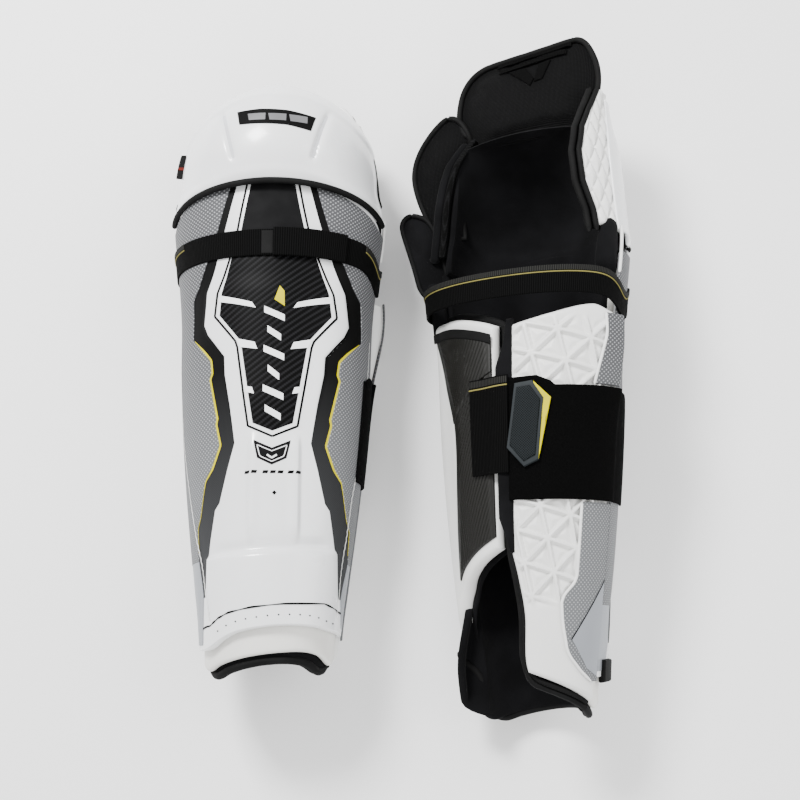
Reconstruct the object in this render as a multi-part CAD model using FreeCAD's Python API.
import FreeCAD, Part
import math
import os

# A pair of ice hockey shin guards. The right-leg guard lies on its back and the left-leg guard,
# its mirror image, lies on its front and is rolled towards its outer side.
#
# Each guard is modelled in a guard frame, in millimetres: X towards the inner side of the leg,
# Y up the leg from the ankle, Z forwards out of the shin, with the origin on the leg's axis.
# A place on the guard is given as an angle round the leg (degrees, 0 at the shin's ridge and
# positive towards the inner side), a height up the leg, and an offset outwards from a skin.

# Height up the leg, half width, depth in front of the axis, depth behind the axis.
LEG = [
    (-10, 60, 58, 50),
    (35, 63, 61, 56),
    (75, 68, 62, 60),
    (130, 75, 63, 62),
    (175, 80, 65, 64),
    (220, 84, 68, 65),
    (265, 87, 70, 66),
    (320, 89, 73, 66),
    (370, 94, 75, 66),
    (410, 99, 76, 66),
    (440, 100, 77, 66),
    (560, 98, 80, 66),
]
KNEE = [
    (400, 101, 82, 66),
    (434, 99, 83, 66),
    (446, 96, 89, 66),
    (464, 94, 94, 66),
    (484, 91, 94, 66),
    (503, 85, 89, 64),
    (520, 74, 80, 62),
    (533, 60, 68, 60),
    (542, 44, 56, 58),
    (548, 28, 46, 56),
]

# Angle and height of the ankle end's edges, which arch over the instep: the lining's rim, the
# foam cuff and the shell.
RIM = [
    (-96, 6),
    (-75, -4),
    (-57, -8),
    (-39, -4),
    (-19, 0),
    (3, 3),
    (26, 4),
    (45, 2),
    (67, -4),
    (96, 4),
]
CUFF = [
    (-96, 10),
    (-82, 3),
    (-65, -2),
    (-47, 2),
    (-33, 5),
    (-10, 9),
    (16, 12),
    (38, 13),
    (55, 11),
    (79, 4),
    (96, 10),
]
SHELL_BOTTOM = [
    (-96, 18),
    (-62, 15),
    (-48, 16),
    (-34, 23),
    (-22, 28),
    (-3, 32),
    (15, 34),
    (41, 34),
    (59, 32),
    (96, 30),
]

# Heights of the other main edges, measured at the ridge.
SHIN_TOP_Y = 434
FACE_TOP_Y = 444
CAP_BOTTOM_Y = 440
CAP_ARCH = 24
CAP_TOP_Y = 547
KNEE_LINER_Y = (449, 534)

# The padded flap above the knee cap, flat, and its hinge line at the cap's back edge.
FLAP_WIDTH = 140
FLAP_Y = (536, 634)
FLAP_Z = (-5, 6)
FLAP_HINGE = (0, 541, -5)

# Layers of the shin, as offsets from the skin of the leg.
FACE = (-1.3, 0.0)
SHELL = (-4.2, -1.7)
FOAM = (-10.6, -4.5)
LINER = (-17.5, -11.0)
SIDE_EDGE = 96.0

# Layers of the knee cap, as offsets from the skin of the knee.
CAP = (-2.6, 0.0)
CAP_FOAM = (-10.2, -2.8)
CAP_LINER = (-17.0, -10.4)
CAP_SIDE = 80.0

# Calf pads and their hinge lines, just outside the cover's side edges.
PAD_EDGE = 98.0
PAD_BOTTOM_Y = 14

# Angle and height of the pads' upper edges and of the outer pad's lower edge, then height and
# angle of the inner pad's free edge and of the calf plates' front edge.
MEDIAL_PAD_TOP = [(98, 346), (109, 352), (120, 356), (148, 347), (180, 335)]
LATERAL_PAD_TOP = [(98, 358), (141, 354), (165, 346), (180, 338)]
WING_BOTTOM = [(98, 64), (115, 94), (149, 123), (180, 142)]
PAD_BACK = [(14, 155), (30, 160), (45, 163), (82, 163), (115, 168), (135, 172)]
PLATE_FRONT = [(110, -124), (129, -127), (190, -136), (256, -139), (300, -126), (344, -112)]

# Layers of the calf pads and of what is sewn on them, and where the calf strap runs.
PAD_FOAM = (-10.6, 0.0)
PAD_LINING = (-14.0, -11.0)
CALF_PLATE = (0.8, 2.8)
BAND = (0.4, 2.2)
STRAP = (3.6, 5.3)
STRAP_Y = (196, 276)
BAND_Y = (176, 274)
TAB_HINGE_U = 169.5

# The webbing strap below the knee and its fold-over end tab on the ridge.
WEB = (0.6, 2.6)
WEB_WIDTH = 25
WEB_TAB = (3.0, 5.0)
WEB_TAB_U = (2.0, 43.0)

# Spacing of the sections that the curved slabs are drawn through, close enough together for the
# layers to keep clear of one another.
STATION_ANGLE = 7.0
LEG_STATION = 20.0
KNEE_STATION = 5.0

# How each guard lies.
RIGHT_X = -116.0
LEFT_X = 119.0
LEFT_SHIFT_Y = -35.0
LEFT_ROLL = -31.0
LEFT_PITCH = 4.0
FLAP_FOLD = 145.0

# How far the calf strap and its bands sit above their usual height on each guard.
STRAP_RAISE = {"right": -10, "left": 5}


def spline(stations, y, column):
    """The value of a column of stations at height y, on a Catmull-Rom curve."""
    ys = [s[0] for s in stations]
    v = [s[column] for s in stations]
    y = min(max(y, ys[0]), ys[-1])
    i = max(k for k in range(len(ys) - 1) if ys[k] <= y)

    def slope(k):
        a, b = max(k - 1, 0), min(k + 1, len(ys) - 1)
        return (v[b] - v[a]) / (ys[b] - ys[a])

    h = ys[i + 1] - ys[i]
    t = (y - ys[i]) / h
    return (
        v[i] * (1 + 2 * t) * (1 - t) ** 2
        + slope(i) * h * t * (1 - t) ** 2
        + v[i + 1] * t * t * (3 - 2 * t)
        + slope(i + 1) * h * t * t * (t - 1)
    )


def skin(stations, u, y, offset=0.0):
    """The point at angle u and height y, offset outwards from the skin that stations describe."""
    a = math.radians(u)
    wide = spline(stations, y, 1)
    deep = spline(stations, y, 2 if math.cos(a) >= 0 else 3)
    x, z = wide * math.sin(a), deep * math.cos(a)
    nx, nz = math.sin(a) / wide, math.cos(a) / deep
    n = math.hypot(nx, nz)
    return FreeCAD.Vector(x + offset * nx / n, y, z + offset * nz / n)


def valued(f, *at):
    """f itself, or its value at a place if it is a function."""
    return f(*at) if callable(f) else f


def patch(stations, u_range, y_range, layer):
    """A curved slab on a skin. u_range holds its side edges, each a number or a function of the
    height; y_range its lower and upper edges, each a number or a function of the angle; layer its
    inner and outer offsets, each a number or a function of angle and height."""
    middle_y = (valued(y_range[0], 0) + valued(y_range[1], 0)) / 2
    u_middle = (valued(u_range[0], middle_y), valued(u_range[1], middle_y))
    tall = abs(valued(y_range[1], u_middle[0]) - valued(y_range[0], u_middle[0]))
    across = max(round(abs(u_middle[1] - u_middle[0]) / STATION_ANGLE), 3) + 1
    along = max(round(tall / (KNEE_STATION if stations is KNEE else LEG_STATION)), 3) + 1

    def surface(offset):
        rows = []
        for i in range(across):
            s = i / (across - 1)
            u_guess = u_middle[0] + (u_middle[1] - u_middle[0]) * s
            low, high = valued(y_range[0], u_guess), valued(y_range[1], u_guess)
            row = []
            for j in range(along):
                y = low + (high - low) * j / (along - 1)
                u = valued(u_range[0], y) * (1 - s) + valued(u_range[1], y) * s
                row.append(skin(stations, u, y, valued(offset, u, y)))
            rows.append(row)
        made = Part.BSplineSurface()
        made.interpolate(rows)
        return made

    inner, outer = surface(layer[0]), surface(layer[1])
    faces = [inner.toShape(), outer.toShape()]
    u0, u1, v0, v1 = outer.bounds()
    for of in (
        lambda s: s.uIso(s.bounds()[0]),
        lambda s: s.uIso(s.bounds()[1]),
        lambda s: s.vIso(s.bounds()[2]),
        lambda s: s.vIso(s.bounds()[3]),
    ):
        faces.append(Part.makeRuledSurface(of(inner).toShape(), of(outer).toShape()))
    shell = Part.makeShell(faces)
    shell.sewShape()
    solid = Part.makeSolid(shell)
    if solid.Volume < 0:
        solid.reverse()
    return solid


def face_edge(y):
    """Angle of the edge between the printed face of the shell and the grey side panels."""
    stops = [(14, 66), (120, 62), (190, 40), (300, 48), (345, 60), (375, 56), (444, 36)]
    return spline(stops, y, 1)


def edge_height(stops, u):
    """The height at angle u of an edge given by stops of angle and height."""
    return spline(stops, u, 1)


def shell_bottom(u):
    return edge_height(SHELL_BOTTOM, u)


def panel_top(u):
    """The cover's top edge arches down from the ridge to its side corners, where it stops short
    of the knee cap; over the ridge it tucks in under the cap."""
    return FACE_TOP_Y - (CAP_ARCH + 15) * min(abs(u) / CAP_SIDE, 1) ** 2


def cap_bottom(u):
    """The knee cap's lower edge, arched like the cover's top edge."""
    return CAP_BOTTOM_Y - CAP_ARCH * min(abs(u) / CAP_SIDE, 1) ** 2


def knee_liner_bottom(u):
    return KNEE_LINER_Y[0] + 18 * (abs(u) / 90) ** 4


def pad_back_edge(y):
    """Angle of the inner calf pad's free edge: open at the ankle, nearly closed at the calf."""
    return spline(PAD_BACK, y, 1)


def pad_top(u):
    """The calf pads' top edges slope down towards the back."""
    return edge_height(MEDIAL_PAD_TOP if u > 0 else LATERAL_PAD_TOP, abs(u))


def pad_swell(u, y):
    """The inner calf pad swells outwards beside the strap below the knee."""
    return 11 * math.exp(-(((y - 322) / 50) ** 2)) * max(1 - (u - PAD_EDGE) / 60, 0)


def swollen(layer):
    """A layer over the inner calf pad, given by its offsets from the flat pad."""
    return tuple(lambda u, y, at=at: at + pad_swell(u, y) for at in layer)


def eased(t):
    """Rises smoothly from 0 to 1 as t does."""
    t = min(max(t, 0), 1)
    return t * t * (3 - 2 * t)


def wing_tuck(u):
    """The outer calf wing wraps closer to the leg than the shell that it hangs from."""
    away = abs((u + 180) % 360 - 180)
    over_gap = 1 - eased((u - 171) / 22) if u > 0 else 0
    return -8 * eased((away - 98) / 30) * (1 - over_gap)


def tucked(layer):
    """A layer of the outer calf wing, given by its offsets from the skin."""
    return tuple(lambda u, y, at=at: at + wing_tuck(u) for at in layer)


def wing_bottom(u):
    """The outer calf wing's lower edge rises in a curve towards the back."""
    return edge_height(WING_BOTTOM, abs(u))


def raised(heights, by):
    return tuple(y + by for y in heights)


def shin_pieces(strap_raise):
    """The pieces that are fixed to the shin shell."""
    pieces = {}
    pieces["shin_shell"] = patch(
        LEG, (-84, 84), (lambda u: shell_bottom(u) + 3, lambda u: panel_top(u) - 4), SHELL
    )
    pieces["shell_face"] = patch(
        LEG,
        (lambda y: -face_edge(y), face_edge),
        (shell_bottom, panel_top),
        FACE,
    )
    gap = 1.0
    for side, name in ((1, "medial_side_panel"), (-1, "lateral_side_panel")):
        edges = [lambda y: side * (face_edge(y) + gap), lambda y: side * SIDE_EDGE]
        if side < 0:
            edges.reverse()
        pieces[name] = patch(LEG, edges, (lambda u: shell_bottom(u) + 4, panel_top), FACE)
    pieces["shin_foam"] = patch(
        LEG,
        (-SIDE_EDGE, SIDE_EDGE),
        (lambda u: edge_height(CUFF, u), lambda u: panel_top(u) - 16),
        FOAM,
    )
    pieces["shin_liner"] = patch(
        LEG,
        (-SIDE_EDGE, SIDE_EDGE),
        (lambda u: edge_height(RIM, u), lambda u: panel_top(u) - 12),
        LINER,
    )
    pieces["medial_ear"] = ear(1, 8)
    pieces["lateral_ear"] = ear(-1, 27)
    pieces["knee_strap"] = web_loop()
    pieces["strap_anchor"] = patch(
        LEG, (62, 94), raised(BAND_Y, strap_raise), BAND
    )
    return pieces


def ear(side, flare):
    """An upper corner of the lining, which flares outwards beside the knee."""
    low, high, narrow, wide = 388, SHIN_TOP_Y + 4, SIDE_EDGE + 0.8, 122

    def layer(offset):
        def at(u, y):
            reach = (abs(u) - SIDE_EDGE) / (wide - SIDE_EDGE)
            return offset + flare * reach * (y - low) / (high - low)

        return at

    edges = (narrow, wide) if side > 0 else (-wide, -narrow)
    return patch(LEG, edges, (low, high), (layer(-12), layer(-1)))


def web_middle(u):
    """Height of the webbing strap's middle: level but for a dip on the inner side of the leg."""
    return 376 - 15 * math.exp(-(((u - 86) / 18) ** 2))


def web_loop():
    """The strap goes once round the leg, and its ends butt under the end tab on the ridge."""
    half = WEB_WIDTH / 2
    edges = (lambda u: web_middle(u) - half, lambda u: web_middle(u) + half)
    return patch(LEG, (4, 363), edges, WEB)


def web_tab_piece():
    half = WEB_WIDTH / 2 + 1
    return patch(
        LEG,
        WEB_TAB_U,
        (lambda u: web_middle(u) - half, lambda u: web_middle(u) + half),
        WEB_TAB,
    )


def medial_pad_pieces(strap_raise):
    """The padded wrap on the inner side of the calf, with the band that the calf strap grips."""
    y_range = (PAD_BOTTOM_Y, pad_top)
    return {
        "medial_pad": patch(
            LEG,
            (PAD_EDGE, pad_back_edge),
            y_range,
            (PAD_FOAM[0], lambda u, y: PAD_FOAM[1] + pad_swell(u, y)),
        ),
        "medial_pad_lining": patch(
            LEG, (PAD_EDGE, lambda y: pad_back_edge(y) + 9), y_range, PAD_LINING
        ),
        "strap_receiver": patch(
            LEG,
            (99, 169),
            raised(BAND_Y, strap_raise),
            swollen(BAND),
        ),
    }


def plate_split(u):
    """Height of the slanting gap between the two calf plates."""
    return 256 + 1.15 * (abs(u) - 139)


def lateral_wing_pieces(strap_raise):
    """The armoured wing on the outer side of the calf, with its two plates and the calf strap."""
    y_range = (wing_bottom, pad_top)
    plates = (-170, lambda y: spline(PLATE_FRONT, y, 1))
    return {
        "lateral_wing": patch(LEG, (-174, -PAD_EDGE), y_range, tucked(PAD_FOAM)),
        "lateral_wing_lining": patch(LEG, (-177, -PAD_EDGE), y_range, tucked(PAD_LINING)),
        "upper_calf_plate": patch(
            LEG,
            plates,
            (lambda u: plate_split(u) + 2, lambda u: pad_top(u) - 12),
            tucked(CALF_PLATE),
        ),
        "lower_calf_plate": patch(
            LEG,
            plates,
            (lambda u: wing_bottom(u) + 12, lambda u: plate_split(u) - 2),
            tucked(CALF_PLATE),
        ),
        "calf_strap": patch(
            LEG,
            (TAB_HINGE_U + 1.5, 198),
            raised(STRAP_Y, strap_raise),
            tucked(STRAP),
        ),
    }


def pull_tab_pieces(strap_raise):
    """The calf strap's free end: a hook patch that carries the ribbed pull tab."""
    low, high = raised(STRAP_Y, strap_raise)
    return {
        "strap_end_patch": patch(
            LEG,
            (135, TAB_HINGE_U),
            (lambda u: low - 2 + 0.4 * (169 - u), lambda u: high + 4 - 0.4 * abs(u - 152)),
            swollen(STRAP),
        ),
        "pull_tab": patch(
            LEG,
            (147, 168.5),
            (lambda u: low + 1.1 * abs(u - 162), lambda u: high + 2 - 0.9 * abs(u - 154)),
            swollen((5.6, 9.1)),
        ),
    }


def knee_pieces():
    """The pieces that turn with the knee cap."""
    pieces = {}
    pieces["knee_cap"] = patch(
        KNEE, (-CAP_SIDE, CAP_SIDE), (cap_bottom, CAP_TOP_Y), CAP
    )
    pieces["knee_cap_binding"] = patch(
        KNEE,
        (-CAP_SIDE, CAP_SIDE),
        (lambda u: cap_bottom(u) - 1.5, lambda u: cap_bottom(u) + 4.5),
        (0.3, 2.4),
    )
    pieces["knee_cap_foam"] = patch(
        KNEE,
        (-CAP_SIDE + 2, CAP_SIDE - 2),
        (lambda u: knee_liner_bottom(u) - 3, CAP_TOP_Y - 12),
        CAP_FOAM,
    )
    pieces["knee_liner"] = patch(
        KNEE, (-83, 83), (knee_liner_bottom, KNEE_LINER_Y[1]), CAP_LINER
    )
    pieces["knee_sling_pad"] = patch(
        KNEE,
        (-78, 78),
        (lambda u: knee_liner_bottom(u) + 4, lambda u: 528 - 12 * (u / 78) ** 2),
        (-22.5, -17.3),
    )
    for side, name in ((1, "medial_knee_pad"), (-1, "lateral_knee_pad")):
        pieces[name] = patch(
            KNEE,
            (84, 117) if side > 0 else (-117, -84),
            (lambda u: 448 + 0.5 * (abs(u) - 84), lambda u: 520 - 0.05 * (abs(u) - 94) ** 2),
            (lambda u, y: -11 + 0.2 * (abs(u) - 84), lambda u, y: -0.8 + 0.2 * (abs(u) - 84)),
        )
    return pieces


def thigh_flap():
    """The padded flap, straight up the thigh: slanting sides and a rounded top."""
    half, corner = FLAP_WIDTH / 2, 24
    low, high = FLAP_Y
    outline = [
        (-half + 8, low),
        (half - 8, low),
        (half, low + 40),
        (half - 6, high - corner),
        (half - corner, high),
        (-half + corner, high - 6),
        (-half + 6, high - corner - 12),
        (-half, low + 40),
    ]
    points = [FreeCAD.Vector(x, y, FLAP_Z[0]) for x, y in outline]
    face = Part.Face(Part.makePolygon(points + points[:1]))
    return face.extrude(FreeCAD.Vector(0, 0, FLAP_Z[1] - FLAP_Z[0]))


def side_label():
    """The small folded tag sewn in beside the knee cap."""
    return patch(KNEE, (-82.6, -81.8), (462, 482), (-2, 13))


def ankle_trim():
    """The band sewn over the shell's lower edge."""
    return patch(
        LEG,
        (-70, 92),
        (lambda u: shell_bottom(u) - 3, lambda u: shell_bottom(u) + 18),
        (0.4, 3.8),
    )


def turned(shape, point, axis, degrees):
    copy = shape.copy()
    copy.rotate(FreeCAD.Vector(*point), FreeCAD.Vector(*axis), degrees)
    return copy


def guard(flap_angle, strap_raise):
    """Every piece of one guard in the guard frame, as {body: {node: shape}}."""
    flap = turned(thigh_flap(), FLAP_HINGE, (1, 0, 0), -flap_angle)
    return {
        "shin": shin_pieces(strap_raise),
        "medial_wrap": medial_pad_pieces(strap_raise),
        "lateral_wrap": lateral_wing_pieces(strap_raise),
        "pull": pull_tab_pieces(strap_raise),
        "web_end": {"knee_strap_tab": web_tab_piece()},
        "knee": knee_pieces(),
        "flap": {"thigh_flap": flap},
    }


def lying_right():
    """Guard frame to row frame for the guard that lies on its back."""
    return FreeCAD.Matrix()


def lying_left():
    """Mirrors the guard front to back, then rolls and pitches it onto its knee cap and ankle."""
    mirror = FreeCAD.Matrix()
    mirror.scale(1, 1, -1)
    roll = FreeCAD.Matrix()
    roll.rotateY(math.radians(LEFT_ROLL))
    pitch = FreeCAD.Matrix()
    pitch.rotateX(math.radians(LEFT_PITCH))
    return pitch * roll * mirror


def box_of(shapes):
    """Lowest and highest corners of the shapes."""
    boxes = [s.optimalBoundingBox(False, False) for s in shapes]
    low = [min(getattr(b, k) for b in boxes) for k in ("XMin", "YMin", "ZMin")]
    high = [max(getattr(b, k) for b in boxes) for k in ("XMax", "YMax", "ZMax")]
    return low, high


def moved(shape, matrix):
    return shape.transformGeometry(matrix) if matrix.determinant() < 0 else placed(shape, matrix)


def placed(shape, matrix):
    copy = shape.copy()
    copy.transformShape(matrix)
    return copy


def shift(x, y, z):
    matrix = FreeCAD.Matrix()
    matrix.move(FreeCAD.Vector(x, y, z))
    return matrix


def build():
    """Returns {(guard, body): {node: shape}} in the row frame, and each guard's matrix."""
    right = guard(FLAP_FOLD, STRAP_RAISE["right"])
    right["knee"]["side_label"] = side_label()
    left = guard(0.0, STRAP_RAISE["left"])
    left["shin"]["ankle_trim"] = ankle_trim()
    matrices, groups = {}, {}
    for name, made, lie, x, y in (
        ("right", right, lying_right(), RIGHT_X, 0.0),
        ("left", left, lying_left(), LEFT_X, LEFT_SHIFT_Y),
    ):
        turned_pieces = {
            body: {node: moved(shape, lie) for node, shape in nodes.items()}
            for body, nodes in made.items()
        }
        low, _ = box_of([s for nodes in turned_pieces.values() for s in nodes.values()])
        down = shift(x, y, -low[2])
        matrices[name] = down * lie
        for body, nodes in turned_pieces.items():
            groups[(name, body)] = {n: placed(s, down) for n, s in nodes.items()}
    low, high = box_of([s for nodes in groups.values() for s in nodes.values()])
    centre = shift(-(low[0] + high[0]) / 2, -(low[1] + high[1]) / 2, -low[2])
    for name in matrices:
        matrices[name] = centre * matrices[name]
    groups = {k: {n: placed(s, centre) for n, s in v.items()} for k, v in groups.items()}
    return groups, matrices


def export(groups):
    os.makedirs("parts", exist_ok=True)
    for (name, _), nodes in groups.items():
        for node, shape in nodes.items():
            shape.exportStep(f"parts/{name}_{node}.step")


if __name__ == "__main__":
    export(build()[0])
